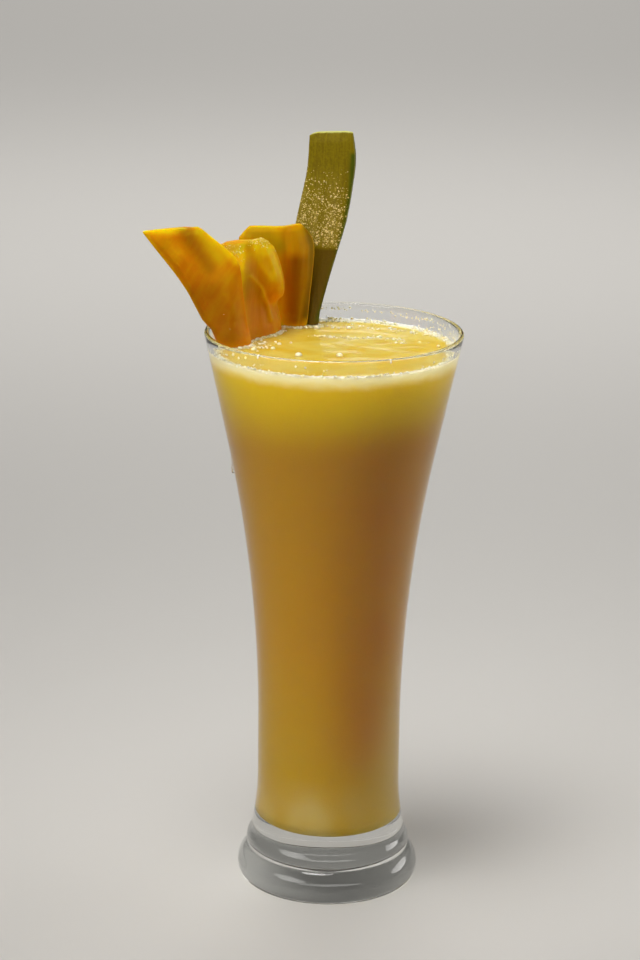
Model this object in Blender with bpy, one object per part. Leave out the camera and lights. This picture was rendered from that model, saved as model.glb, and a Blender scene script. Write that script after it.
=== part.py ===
"""A tall footed glass of mango juice, with three mango slices and a strip of peel standing in it.

The glass is one turned solid: a thick two-step foot, a straight waist, and a bowl that flares to a thin rounded
rim. The juice fills the bowl to just under the rim and is cut round the garnish. Each slice is a blade that is
lofted through a few named sections, from its end in the juice to its cut top.

Sizes are in millimetres, and mesh data in metres. The origin is the centre of the foot, on the table. +Z is up,
along the glass's axis, and -Y is the side that shows the broad faces of the slices.
"""
import math
from typing import NamedTuple

import bmesh
import bpy
from mathutils import Vector

MM = 0.001

# Glass, outside
GLASS_HEIGHT = 188.8
WAIST_RADIUS = 23.8
FLARE_START = 55.0
FLARE_END = 150.0
FLARE_SLOPE = 0.2125
NECK_TOP = 36.0
NECK_BOTTOM = 16.6
NECK_RADIUS = 25.95
RING_BOTTOM = 10.7
RING_RADIUS = 27.0
RING_SWELL = 0.88
BASE_RADIUS = 28.4
BASE_SWELL = 2.65
BASE_SQUARENESS = 0.7

# Glass, inside
BOWL_BOTTOM = 20.5
BOWL_CORNER = 5.5
WALL_LOW = 2.4
WALL_RIM = 1.65

# Juice
JUICE_LEVEL = 182.8
GAP = 0.3

# How finely the turned and lofted shapes are divided
TURN_STEPS = 48
BOWL_STEPS = 13
FOOT_STEPS = 6
RIM_STEPS = 4
SLICE_ROWS = 16
SLICE_COLUMNS = 9
MERGE_DISTANCE = 0.00001


class Section(NamedTuple):
    """One section of a blade: the two ends of its front face, its thickness, and how far its front stands out."""

    left: tuple
    right: tuple
    thick: float
    fold: float = 0.0
    ridge: float = 0.5


# The large slice on the left: it rests on the rim and leans out past it, and its top is cut straight
SLICE_LEFT = (
    Section((-30.5, -4.0, 158.0), (-23.0, -5.0, 158.0), 8.0),
    Section((-36.2, -4.0, 176.0), (-26.6, -5.5, 176.0), 9.5),
    Section((-39.6, -3.6, 188.0), (-27.3, -4.4, 186.0), 9.5),
    Section((-42.4, -3.0, 191.2), (-28.2, -3.0, 190.8), 9.0, -0.4, 0.55),
    Section((-47.2, -2.5, 200.7), (-29.5, -1.2, 201.7), 7.2, -1.0, 0.55),
    Section((-51.8, -3.0, 208.0), (-30.5, 1.0, 210.0), 5.6, -1.6, 0.6),
    Section((-56.3, -3.5, 214.2), (-36.4, 1.6, 215.9), 4.6, -2.0, 0.65),
    Section((-61.3, -4.0, 220.9), (-43.4, 1.6, 221.3), 3.8, -2.2, 0.7),
)

# The middle slice: its top curls forward into a lobe, which ends in a notch at its right edge
SLICE_MIDDLE = (
    Section((-21.0, 4.0, 158.0), (-12.0, 19.0, 158.0), 5.0),
    Section((-26.6, 7.0, 178.0), (-15.2, 24.0, 178.0), 5.6, 1.0),
    Section((-29.2, 8.6, 189.7), (-16.1, 25.2, 186.2), 5.6, 1.8, 0.6),
    Section((-31.4, 8.4, 196.2), (-17.6, 24.6, 192.4), 5.4, 2.2, 0.6),
    Section((-32.0, 8.4, 197.9), (-15.7, 22.2, 194.9), 5.4, 2.6, 0.7),
    Section((-33.3, 8.0, 204.1), (-15.4, 20.0, 199.8), 5.2, 3.2, 0.7),
    Section((-35.3, 8.0, 210.0), (-16.8, 18.0, 205.9), 5.0, 3.4, 0.65),
    Section((-36.9, 8.0, 214.2), (-19.3, 16.0, 212.3), 4.6, 3.0, 0.62),
    Section((-31.5, 9.6, 215.7), (-22.9, 14.0, 215.8), 3.8, 1.4, 0.6),
)

# The slice behind it: a flat left half and a rounded right half that meet in a soft corner
SLICE_BACK = (
    Section((-16.0, 25.0, 158.0), (-9.0, 25.0, 158.0), 3.4),
    Section((-17.8, 27.8, 176.0), (-10.2, 26.8, 176.0), 3.6),
    Section((-19.0, 29.2, 186.0), (-9.1, 27.6, 186.0), 3.8, 0.5, 0.55),
    Section((-22.0, 27.8, 194.4), (-8.2, 28.2, 193.6), 4.2, 1.6, 0.55),
    Section((-25.5, 25.0, 202.0), (-7.0, 28.4, 200.8), 4.4, 2.6, 0.55),
    Section((-29.8, 21.8, 208.6), (-6.3, 28.4, 208.6), 4.6, 3.0, 0.55),
    Section((-31.0, 20.8, 213.8), (-7.4, 28.4, 213.6), 4.4, 2.8, 0.55),
    Section((-27.3, 21.4, 218.1), (-10.7, 27.8, 217.7), 3.8, 2.0, 0.55),
)

# The strip of peel: its flat face is flesh, turned a little to the left, and its rounded back is skin
PEEL_STRIP = (
    Section((-13.0, 30.0, 166.0), (-6.5, 26.8, 166.0), 2.4),
    Section((-14.5, 33.3, 183.7), (-6.0, 29.2, 183.7), 2.5),
    Section((-15.2, 36.0, 194.5), (-3.4, 31.2, 195.0), 2.6),
    Section((-14.7, 37.0, 205.6), (0.0, 32.2, 206.7), 2.7),
    Section((-13.6, 37.5, 216.3), (3.3, 32.0, 218.6), 2.8),
    Section((-10.9, 38.0, 229.4), (5.2, 31.6, 231.6), 2.8),
    Section((-9.8, 38.0, 237.4), (5.8, 31.2, 239.4), 2.8),
    Section((-9.5, 38.0, 246.6), (4.8, 31.2, 248.2), 2.6),
)
SLICE_EDGE = 0.36
STRIP_EDGE = 0.3
STRIP_BELLY = 1.0
TOP_ROUNDING = 0.55
EDGE_POWER = 4.0


def blend(start, end, part):
    """The value that lies the given part of the way from start to end."""
    return start + (end - start) * part


def outer_radius(height):
    """Outside radius of the glass above its foot: a straight waist, then a steadily steeper flare, then a cone."""
    if height < NECK_TOP:
        neck = (NECK_TOP - height) / (NECK_TOP - NECK_BOTTOM)
        return WAIST_RADIUS + (NECK_RADIUS - WAIST_RADIUS) * neck ** 2
    rise = min(max(height - FLARE_START, 0.0), FLARE_END - FLARE_START)
    flare = FLARE_SLOPE * rise ** 2 / (2 * (FLARE_END - FLARE_START))
    return WAIST_RADIUS + flare + FLARE_SLOPE * max(height - FLARE_END, 0.0)


def wall_thickness(height):
    """Thickness of the wall, which thins from the bowl's bottom to the rim."""
    return blend(WALL_LOW, WALL_RIM, (height - BOWL_BOTTOM) / (GLASS_HEIGHT - BOWL_BOTTOM))


def inner_radius(height):
    """Inside radius of the bowl, rounded into its bottom."""
    radius = outer_radius(height) - wall_thickness(height)
    corner = BOWL_BOTTOM + BOWL_CORNER - height
    if corner > 0:
        radius -= BOWL_CORNER - math.sqrt(BOWL_CORNER ** 2 - corner ** 2)
    return radius


def spread(low, high, steps):
    """Evenly spaced heights from low to high, both included."""
    return [blend(low, high, i / steps) for i in range(steps + 1)]


def bowl_line(low, high):
    """Points of the bowl's inner wall from low to high, closer together round the bottom corner."""
    corner = [low + BOWL_CORNER * (1 - math.cos(math.pi / 2 * i / FOOT_STEPS)) for i in range(FOOT_STEPS)]
    return [(inner_radius(z), z) for z in corner + spread(low + BOWL_CORNER, high, BOWL_STEPS)]


def rim_line(middle, radius):
    """Points over the rounded rim, from its inner side to its outer side."""
    angles = [math.pi * (1 - i / RIM_STEPS) for i in range(1, RIM_STEPS)]
    return [(middle + radius * math.cos(a), GLASS_HEIGHT - radius + radius * math.sin(a)) for a in angles]


def foot_line():
    """Points down the outside of the foot: a slim ring, a crease, and the full rounded base."""
    ring = []
    for i in range(1, FOOT_STEPS + 1):
        part = i / FOOT_STEPS
        radius = blend(NECK_RADIUS, RING_RADIUS, part) + RING_SWELL * math.sin(math.pi * part)
        ring.append((radius, blend(NECK_BOTTOM, RING_BOTTOM, part)))
    base = []
    for i in range(1, 2 * FOOT_STEPS + 1):
        part = 0.5 - 0.5 * math.cos(math.pi * i / (2 * FOOT_STEPS))
        swell = BASE_SWELL * max(math.sin(math.pi * part), 0.0) ** BASE_SQUARENESS
        base.append((blend(RING_RADIUS, BASE_RADIUS, part) + swell, blend(RING_BOTTOM, 0.0, part)))
    return ring + base


def glass_profile():
    """Half section of the glass, from the bowl's bottom over the rim and down to the middle of the base."""
    rim_radius = WALL_RIM / 2
    rim_start = GLASS_HEIGHT - rim_radius
    inside = bowl_line(BOWL_BOTTOM, rim_start)
    outside = [(outer_radius(z), z) for z in reversed(spread(NECK_TOP, rim_start, BOWL_STEPS))]
    neck = [(outer_radius(z), z) for z in spread(NECK_TOP, NECK_BOTTOM, FOOT_STEPS // 2)[1:]]
    rim = rim_line(outer_radius(rim_start) - rim_radius, rim_radius)
    return [(0.0, BOWL_BOTTOM)] + inside + rim + outside + neck + foot_line() + [(0.0, 0.0)]


def juice_profile():
    """Half section of the juice, from the middle of its surface down the wall to the bottom."""
    wall = [(radius - GAP, z) for radius, z in bowl_line(BOWL_BOTTOM + GAP, JUICE_LEVEL)]
    return [(0.0, JUICE_LEVEL)] + wall[::-1] + [(0.0, BOWL_BOTTOM + GAP)]


def turned(name, profile, material):
    """A solid turned about +Z from a half section given in millimetres."""
    mesh = bpy.data.meshes.new(name)
    points = [(radius * MM, 0.0, z * MM) for radius, z in profile]
    mesh.from_pydata(points, [(i, i + 1) for i in range(len(points) - 1)], [])
    body = bpy.data.objects.new(name, mesh)
    bpy.context.collection.objects.link(body)
    turn = body.modifiers.new("turn", "SCREW")
    turn.steps = TURN_STEPS
    turn.render_steps = TURN_STEPS
    turn.use_merge_vertices = True
    turn.merge_threshold = MERGE_DISTANCE
    turn.use_smooth_shade = True
    body.data.materials.append(material)
    return body


def catmull_rom(before, start, end, after, part):
    """A value on the smooth curve from start to end, given the values on either side of them."""
    return start + 0.5 * part * (
        end - before + part * (2 * before - 5 * start + 4 * end - after + part * (3 * (start - end) + after - before))
    )


def section_at(sections, part):
    """The section that lies the given part of the way up a blade, on smooth curves through all its sections."""
    place = part * (len(sections) - 1)
    i = min(int(place), len(sections) - 2)
    near = [sections[min(max(k, 0), len(sections) - 1)] for k in range(i - 1, i + 3)]
    left = Vector([catmull_rom(*(s.left[axis] for s in near), place - i) for axis in range(3)])
    right = Vector([catmull_rom(*(s.right[axis] for s in near), place - i) for axis in range(3)])
    thick, fold, ridge = (catmull_rom(*(s[k] for s in near), place - i) for k in (2, 3, 4))
    return left, right, thick, fold, ridge


def ridge_shape(across, ridge):
    """Height of the fold, from 0 at both edges to 1 at the ridge, with a rounded crest."""
    rise = across / ridge if across < ridge else (1 - across) / (1 - ridge)
    return math.sin(math.pi / 2 * rise)


def blade_ring(sections, part, edge, belly, grow):
    """One closed ring of points round a blade: its front face from left to right, then its back face."""
    left, right, thick, fold, ridge = section_at(sections, part)
    along = (right - left).normalized()
    forward = Vector((along.y, -along.x, 0.0)).normalized()
    left, right = left - along * grow, right + along * grow
    ends = min(part, 1 - part) * SLICE_ROWS
    slim = TOP_ROUNDING + (1 - TOP_ROUNDING) * min(ends, 1.0)
    front, back = [], []
    for column in range(SLICE_COLUMNS + 1):
        across = 0.5 - 0.5 * math.cos(math.pi * column / SLICE_COLUMNS)
        rounding = edge * thick * abs(2 * across - 1) ** EDGE_POWER
        swell = fold * ridge_shape(across, ridge)
        middle = swell - thick / 2
        half = (thick / 2 - rounding) * slim
        back_half = half + belly * (1 - (2 * across - 1) ** 2)
        line = left.lerp(right, across)
        front.append(line + forward * (middle + half + grow))
        back.append(line + forward * (middle - back_half - grow))
    return front + back[::-1]


def blade_mesh(name, sections, edge=SLICE_EDGE, belly=0.0, grow=0.0):
    """A closed blade through the given sections. It is made larger all round by grow, in millimetres."""
    mesh = bpy.data.meshes.new(name)
    shape = bmesh.new()
    rings = []
    for row in range(SLICE_ROWS + 1):
        ring = blade_ring(sections, row / SLICE_ROWS, edge, belly, grow)
        if row in (0, SLICE_ROWS):
            lift = Vector((0.0, 0.0, grow if row else -grow))
            ring = [point + lift for point in ring]
        rings.append([shape.verts.new(point * MM) for point in ring])
    count = len(rings[0])
    for low, high in zip(rings, rings[1:]):
        for i in range(count):
            j = (i + 1) % count
            shape.faces.new((low[i], low[j], high[j], high[i]))
    for ring in (rings[0], rings[-1]):
        for i in range(SLICE_COLUMNS):
            shape.faces.new((ring[i], ring[i + 1], ring[count - 2 - i], ring[count - 1 - i]))
    bmesh.ops.recalc_face_normals(shape, faces=shape.faces)
    for face in shape.faces:
        face.smooth = True
    shape.to_mesh(mesh)
    shape.free()
    return mesh


def blade(name, sections, material, edge=SLICE_EDGE, belly=0.0):
    """A mango slice or strip of peel as an object with its own material."""
    body = bpy.data.objects.new(name, blade_mesh(name, sections, edge, belly))
    bpy.context.collection.objects.link(body)
    body.data.materials.append(material)
    return body


def cut_round(body, sections, edge=SLICE_EDGE, belly=0.0):
    """Cuts a body clear of a blade, leaving a small gap all round it."""
    cutter = bpy.data.objects.new(body.name + "_cutter", blade_mesh("cutter", sections, edge, belly, GAP))
    bpy.context.collection.objects.link(cutter)
    cutter.hide_render = True
    cutter.display_type = "WIRE"
    cut = body.modifiers.new("cut", "BOOLEAN")
    cut.operation = "DIFFERENCE"
    cut.solver = "EXACT"
    cut.object = cutter


def finish(name, color, roughness, transmission=0.0, ior=1.45):
    """A material of one colour."""
    material = bpy.data.materials.new(name)
    material.use_nodes = True
    shader = material.node_tree.nodes["Principled BSDF"]
    shader.inputs["Base Color"].default_value = (*color, 1.0)
    shader.inputs["Roughness"].default_value = roughness
    shader.inputs["Metallic"].default_value = 0.0
    shader.inputs["Transmission Weight"].default_value = transmission
    shader.inputs["IOR"].default_value = ior
    return material


def main():
    """Clears the scene and builds the glass, the juice, the slices and the strip of peel."""
    for old in list(bpy.data.objects):
        bpy.data.objects.remove(old)

    turned("glass", glass_profile(), finish("clear glass", (1.0, 1.0, 1.0), 0.02, 1.0, 1.5))
    juice = turned("juice", juice_profile(), finish("mango juice", (0.86, 0.50, 0.03), 0.25))

    slices = {"mango_slice_left": SLICE_LEFT, "mango_slice_middle": SLICE_MIDDLE, "mango_slice_back": SLICE_BACK}
    for name, sections in slices.items():
        blade(name, sections, finish(name + " flesh", (0.90, 0.42, 0.02), 0.35))
        cut_round(juice, sections)
    peel = finish("peel", (0.32, 0.36, 0.03), 0.4)
    blade("mango_peel_strip", PEEL_STRIP, peel, STRIP_EDGE, STRIP_BELLY)
    cut_round(juice, PEEL_STRIP, STRIP_EDGE, STRIP_BELLY)


if __name__ == "__main__":
    main()
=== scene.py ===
"""Looks of a tall glass of mango juice, with a fan of mango slices and a strip of peel standing in it.

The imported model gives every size. Each class below builds one sub-assembly in metres, in the model's own
frame, with +Z up along the glass's axis and -Y towards the camera. Lengths in the dataclasses are in
millimetres, and angles are in degrees.
"""
import logging
import math
from dataclasses import dataclass
from enum import Enum

import bmesh
import bpy
import numpy as np
from bpy.types import Material, Mesh, Node, NodeOutputs, NodeSocket, NodeTree, Object, bpy_prop_collection
from mathutils import Matrix, Vector, noise
from mathutils.bvhtree import BVHTree


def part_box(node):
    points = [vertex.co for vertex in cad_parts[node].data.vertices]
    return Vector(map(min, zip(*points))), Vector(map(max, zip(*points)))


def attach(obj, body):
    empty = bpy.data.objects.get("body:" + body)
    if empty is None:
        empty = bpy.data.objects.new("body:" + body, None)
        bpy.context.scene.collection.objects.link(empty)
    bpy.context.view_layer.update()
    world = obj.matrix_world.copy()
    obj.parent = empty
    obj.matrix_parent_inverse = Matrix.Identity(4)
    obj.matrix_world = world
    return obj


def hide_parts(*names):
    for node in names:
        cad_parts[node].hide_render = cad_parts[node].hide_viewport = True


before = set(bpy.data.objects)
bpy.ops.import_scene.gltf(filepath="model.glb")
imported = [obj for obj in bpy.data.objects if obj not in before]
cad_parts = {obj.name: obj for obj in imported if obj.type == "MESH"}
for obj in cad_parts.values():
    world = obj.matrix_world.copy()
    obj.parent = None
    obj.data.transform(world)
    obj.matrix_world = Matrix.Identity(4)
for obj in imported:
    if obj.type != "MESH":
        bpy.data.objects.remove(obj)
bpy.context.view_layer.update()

MM = 0.001
TOUCHING = 0.000002
log = logging.getLogger("mango_juice")

Color = tuple[float, float, float]
Point = tuple[float, float, float]
Pair = tuple[float, float]
Profile = list[Pair]


class Graph:
    """A node tree that is written one node a line."""

    def __init__(self, tree: NodeTree) -> None:
        """Takes the tree that the nodes are added to."""
        self.tree = tree

    def add(self, kind: str, inputs: dict | None = None, **settings: object) -> Node:
        """Adds one node.

        Args:
            kind: The node's type name.
            inputs: Socket name or index to a value, or to the output socket that feeds it.
            settings: The node's own properties.

        Returns:
            The new node.
        """
        node = self.tree.nodes.new(kind)
        for name, value in settings.items():
            setattr(node, name, value)
        for name, value in (inputs or {}).items():
            if isinstance(value, NodeSocket):
                self.tree.links.new(value, node.inputs[name])
            else:
                node.inputs[name].default_value = value
        return node

    def math(self, operation: str, first: object, second: object = 0.0) -> NodeSocket:
        """Adds a Math node and returns its value."""
        return self.add("ShaderNodeMath", {0: first, 1: second}, operation=operation).outputs[0]

    def ramp(self, value: object, low: float, high: float, start: float = 0.0,
             end: float = 1.0) -> NodeSocket:
        """Maps a value smoothly from low..high to start..end and returns the result."""
        inputs = {"Value": value, "From Min": low, "From Max": high, "To Min": start, "To Max": end}
        return self.add("ShaderNodeMapRange", inputs, interpolation_type="SMOOTHSTEP").outputs["Result"]

    def mix(self, part: object, first: object, second: object) -> NodeSocket:
        """Mixes two colours and returns the result.

        Args:
            part: The second colour's part, from 0 to 1.
            first: The first colour.
            second: The second colour.

        Returns:
            The mixed colour.
        """
        node = self.add("ShaderNodeMix", {0: part}, data_type="RGBA", clamp_factor=True)
        for index, value in ((6, first), (7, second)):
            if isinstance(value, NodeSocket):
                self.tree.links.new(value, node.inputs[index])
            else:
                node.inputs[index].default_value = (*value, 1.0)
        return node.outputs[2]

    def noise(self, place: object, scale: object, detail: float, distortion: float = 0.0) -> NodeSocket:
        """Adds a Noise Texture and returns its value."""
        inputs = {"Vector": place, "Scale": scale, "Detail": detail, "Distortion": distortion}
        return self.add("ShaderNodeTexNoise", inputs).outputs["Fac"]

    def painted(self, name: str) -> NodeSocket:
        """Reads a named number of the mesh in a material and returns it."""
        return self.add("ShaderNodeAttribute", attribute_name=name).outputs["Fac"]

    def carried(self, name: str, kind: str) -> NodeSocket:
        """Reads a named attribute in Geometry Nodes and returns it."""
        return self.add("GeometryNodeInputNamedAttribute", {"Name": name}, data_type=kind).outputs[0]

    def place(self) -> NodeSocket:
        """Adds the object's own coordinates and returns them."""
        return self.add("ShaderNodeTexCoord").outputs["Object"]

    def height(self, place: object) -> NodeSocket:
        """Takes the height out of a place and returns it."""
        return self.add("ShaderNodeSeparateXYZ", {0: place}).outputs["Z"]

    def bump(self, height: object, strength: float, distance: float) -> NodeSocket:
        """Adds a Bump node and returns its normal."""
        inputs = {"Height": height, "Strength": strength, "Distance": distance}
        return self.add("ShaderNodeBump", inputs).outputs[0]

    def link(self, value: NodeSocket, node: Node, socket: str) -> None:
        """Feeds a value into a node's named socket."""
        self.tree.links.new(value, node.inputs[socket])


def fibre_group() -> NodeTree:
    """Group of long fine strands along Z, as in cut mango flesh: a height and a soft mottle.

    Returns:
        The group, made once and then reused.
    """
    made = bpy.data.node_groups.get("mango fibres")
    if made:
        return made
    group = bpy.data.node_groups.new("mango fibres", "ShaderNodeTree")
    group.interface.new_socket("Vector", in_out="INPUT", socket_type="NodeSocketVector")
    for label, value in {"Scale": 700.0, "Stretch": 0.12, "Pulp": 0.35}.items():
        socket = group.interface.new_socket(label, in_out="INPUT", socket_type="NodeSocketFloat")
        socket.default_value = value
    for label in ("Height", "Mottle"):
        group.interface.new_socket(label, in_out="OUTPUT", socket_type="NodeSocketFloat")
    graph = Graph(group)
    given = graph.add("NodeGroupInput").outputs
    stretch = graph.add("ShaderNodeCombineXYZ", {"X": 1.0, "Y": 1.0, "Z": given["Stretch"]}).outputs[0]
    product = graph.add("ShaderNodeVectorMath", {0: given["Vector"], 1: stretch}, operation="MULTIPLY")
    long = product.outputs[0]
    strands = graph.noise(long, given["Scale"], 4.0, 0.4)
    pulp = graph.noise(given["Vector"], given["Scale"], 3.0)
    part = graph.add("ShaderNodeMix", {0: given["Pulp"], 2: strands, 3: pulp})
    mottle = graph.noise(long, graph.math("MULTIPLY", given["Scale"], 0.14), 3.0, 0.8)
    graph.add("NodeGroupOutput", {"Height": part.outputs[0], "Mottle": mottle})
    return group


def set_inputs(shader: Node, values: dict[str, object]) -> None:
    """Sets even numbers and colours on a shader's own sockets."""
    for name, value in values.items():
        shader.inputs[name].default_value = value


@dataclass(frozen=True)
class Finish:
    """A finish for a piece: a named material round one Principled BSDF."""

    name: str

    def material(self) -> Material:
        """Builds the material and returns it."""
        material = bpy.data.materials.new(self.name)
        material.use_nodes = True
        self.fill(Graph(material.node_tree), material.node_tree.nodes["Principled BSDF"])
        return material

    def fill(self, graph: Graph, shader: Node) -> None:
        """Sets the shader and the nodes that feed it."""
        raise NotImplementedError


@dataclass(frozen=True)
class ClearGlass(Finish):
    """Polished clear glass. Lamps shine through it, so that what it holds is lit."""

    name: str = "clear glass"
    tint: Color = (0.985, 0.995, 0.99)
    roughness: float = 0.0
    ior: float = 1.5

    def fill(self, graph: Graph, shader: Node) -> None:
        """Sets the shader and the nodes that feed it."""
        set_inputs(shader, {"Base Color": (*self.tint, 1.0), "Roughness": self.roughness, "IOR": self.ior,
                            "Transmission Weight": 1.0, "Specular IOR Level": 0.3})
        through = graph.add("ShaderNodeBsdfTransparent", {"Color": (*self.tint, 1.0)})
        path = graph.add("ShaderNodeLightPath")
        both = graph.add("ShaderNodeMixShader", {
            0: path.outputs["Is Shadow Ray"], 1: shader.outputs[0], 2: through.outputs[0]})
        graph.link(both.outputs[0], graph.tree.nodes["Material Output"], "Surface")


@dataclass(frozen=True)
class ThickJuice(Finish):
    """Thick mango juice: golden, with a cream froth ring and settled pulp. Painted light is part of its
    colour: it turns brighter near its surface, painted as the glow of light that enters through the top;
    its deep colour is a painted shade down the front right; and its pulp colour also paints a highlight up
    the right side.

    Each band is the range of heights over which one colour turns into the next.
    """

    name: str = "mango juice"
    froth: Color = (0.84, 0.715, 0.37)
    surface: Color = (0.74, 0.54, 0.085)
    surface_deep: Color = (0.72, 0.455, 0.03)
    # Painted glow of light that enters through the top surface.
    painted_glow: Color = (0.73, 0.535, 0.001)
    middle: Color = (0.495, 0.268, 0.0001)
    # Painted shade down the front right.
    deep: Color = (0.43, 0.162, 0.0001)
    lower: Color = (0.47, 0.292, 0.001)
    # Pale pulp, also used to paint a highlight up the right side.
    pulp: Color = (0.54, 0.42, 0.14)
    lower_band: Pair = (40.0, 95.0)
    upper_band: Pair = (152.0, 178.0)
    froth_band: Pair = (177.8, 181.8)
    waviness: float = 0.5
    wet: float = 0.9

    def fill(self, graph: Graph, shader: Node) -> None:
        """Sets the shader and the nodes that feed it."""
        place = graph.place()
        reach = self.waviness * MM
        wave = graph.ramp(graph.noise(place, 130.0, 4.0), 0.3, 0.7, -reach, reach)
        wavy = graph.math("ADD", graph.height(place), wave)
        bands = (self.lower_band, self.upper_band, self.froth_band)
        low, high, froth = ([z * MM for z in band] for band in bands)
        # Painted light: brighter towards the surface, where light enters through the top.
        body = graph.mix(graph.ramp(wavy, *high), self.middle, self.painted_glow)
        body = graph.mix(graph.ramp(wavy, *low), self.lower, body)
        # Painted shade: a deeper orange down the front right.
        body = graph.mix(graph.painted("deep"), body, self.deep)
        # Pale pulp at the front left, and a painted highlight up the right side.
        body = graph.mix(graph.painted("pulp"), body, self.pulp)
        body = graph.mix(graph.ramp(wavy, *froth), body, self.froth)
        clouds = graph.noise(place, 75.0, 5.0, 0.6)
        surface = graph.mix(graph.ramp(clouds, 0.35, 0.65), self.surface_deep, self.surface)
        top = graph.ramp(graph.painted("top"), 0.1, 0.9)
        body = graph.mix(top, body, surface)
        graph.link(graph.mix(graph.painted("froth"), body, self.froth), shader, "Base Color")
        graph.link(graph.bump(graph.noise(place, 1400.0, 3.0), 0.25, 0.0003), shader, "Normal")
        graph.link(graph.math("MULTIPLY", top, self.wet), shader, "Coat Weight")
        set_inputs(shader, {"Roughness": 0.3, "Specular IOR Level": 0.0, "Subsurface Weight": 1.0,
                            "Subsurface Radius": (1.0, 0.95, 0.85), "Subsurface Scale": 0.011,
                            "Coat Roughness": 0.09, "Coat IOR": 1.36})


@dataclass(frozen=True)
class MangoFlesh(Finish):
    """Ripe cut mango: orange to golden yellow, satin and moist, with faint strands that lean as it does.
    Its colour also holds painted light from the slice's strokes: highlights in the gold, the shade of
    hollows in the olive, and a painted shade that darkens it.
    """

    lean: float = 0.0
    deep: Color = (0.68, 0.215, 0.0002)
    gold: Color = (0.90, 0.62, 0.003)
    # Dull yellow, painted as the shade in hollows.
    olive: Color = (0.42, 0.27, 0.001)

    def fill(self, graph: Graph, shader: Node) -> None:
        """Sets the shader and the nodes that feed it."""
        turn = (0.0, math.radians(self.lean), 0.0)
        turned = graph.add("ShaderNodeMapping", {"Vector": graph.place(), "Rotation": turn})
        fibres = graph.add("ShaderNodeGroup", {"Vector": turned.outputs[0]}, node_tree=fibre_group())
        set_inputs(fibres, {"Scale": 620.0, "Stretch": 0.08, "Pulp": 0.3})
        mottle = graph.ramp(fibres.outputs["Mottle"], 0.3, 0.7, -0.08, 0.08)
        strands = graph.ramp(fibres.outputs["Height"], 0.35, 0.65, -0.06, 0.06)
        gold = graph.math("ADD", graph.math("ADD", graph.painted("gold"), mottle), strands)
        color = graph.mix(gold, self.deep, self.gold)
        # Painted shade of hollows, as a duller olive.
        color = graph.mix(graph.painted("olive"), color, self.olive)
        # Painted shade darkens the colour where the strokes put it.
        light = graph.math("SUBTRACT", 1.0, graph.painted("painted_shade"))
        shaded = graph.add("ShaderNodeVectorMath", {0: color, "Scale": light}, operation="SCALE")
        graph.link(shaded.outputs[0], shader, "Base Color")
        graph.link(graph.bump(fibres.outputs["Height"], 0.35, 0.0003), shader, "Normal")
        graph.link(graph.ramp(fibres.outputs["Mottle"], 0.3, 0.7, 0.42, 0.58), shader, "Roughness")
        set_inputs(shader, {"Subsurface Weight": 0.85, "Subsurface Radius": (1.0, 0.42, 0.05),
                            "Subsurface Scale": 0.0022, "Specular IOR Level": 0.05})


@dataclass(frozen=True)
class MangoPeel(Finish):
    """A strip of mango peel: olive flesh with long fibres, and green skin. Its pale edges are painted
    highlights along the top and the left side, and a paler haze over its wet specks is painted sheen.

    The strip is darker and browner below the first of the darker heights, fading back by the second.
    """

    name: str = "mango peel"
    flesh: Color = (0.25, 0.19, 0.002)
    flesh_dark: Color = (0.19, 0.135, 0.0015)
    skin: Color = (0.08, 0.105, 0.002)
    # Pale colour painted as a highlight along the top and left edges.
    cut: Color = (0.56, 0.56, 0.16)
    # Paler haze, painted as the sheen of wet specks.
    painted_sheen: Color = (0.34, 0.26, 0.04)
    low: Color = (0.112, 0.062, 0.001)
    darker_heights: Pair = (207.8, 209.2)
    darkening: float = 0.85

    def fill(self, graph: Graph, shader: Node) -> None:
        """Sets the shader and the nodes that feed it."""
        place = graph.place()
        fibres = graph.add("ShaderNodeGroup", {"Vector": place}, node_tree=fibre_group())
        set_inputs(fibres, {"Scale": 1300.0, "Stretch": 0.09, "Pulp": 0.45})
        flesh = graph.mix(graph.ramp(fibres.outputs["Height"], 0.38, 0.6), self.flesh_dark, self.flesh)
        mottle = graph.ramp(fibres.outputs["Mottle"], 0.35, 0.65)
        # Painted sheen: a paler haze over the wet specks.
        flesh = graph.mix(graph.math("MULTIPLY", graph.painted("wet"), mottle), flesh, self.painted_sheen)
        # Darker and browner below a height.
        darker_heights = graph.ramp(graph.height(place), self.darker_heights[1] * MM, self.darker_heights[0] * MM)
        flesh = graph.mix(graph.math("MULTIPLY", darker_heights, self.darkening), flesh, self.low)
        body = graph.mix(graph.painted("skin"), flesh, self.skin)
        # Painted highlight along the top and left edges.
        graph.link(graph.mix(graph.painted("edge"), body, self.cut), shader, "Base Color")
        graph.link(graph.bump(fibres.outputs["Height"], 0.7, 0.0004), shader, "Normal")
        set_inputs(shader, {"Roughness": 0.45, "Specular IOR Level": 0.12, "Subsurface Weight": 0.3,
                            "Subsurface Radius": (0.8, 0.7, 0.1), "Subsurface Scale": 0.002})


@dataclass(frozen=True)
class FrothBubble(Finish):
    """Small milky bubbles of froth, pale and shiny."""

    name: str = "froth bubbles"
    pale: Color = (1.0, 0.91, 0.62)
    yellow: Color = (0.98, 0.80, 0.34)

    def fill(self, graph: Graph, shader: Node) -> None:
        """Sets the shader and the nodes that feed it."""
        tint = graph.ramp(graph.noise(graph.place(), 300.0, 2.0), 0.35, 0.6)
        graph.link(graph.mix(tint, self.yellow, self.pale), shader, "Base Color")
        set_inputs(shader, {"Roughness": 0.25, "IOR": 1.3, "Coat Weight": 0.35, "Coat Roughness": 0.04,
                            "Subsurface Weight": 0.6, "Subsurface Radius": (1.0, 0.8, 0.5),
                            "Subsurface Scale": 0.001})


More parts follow.
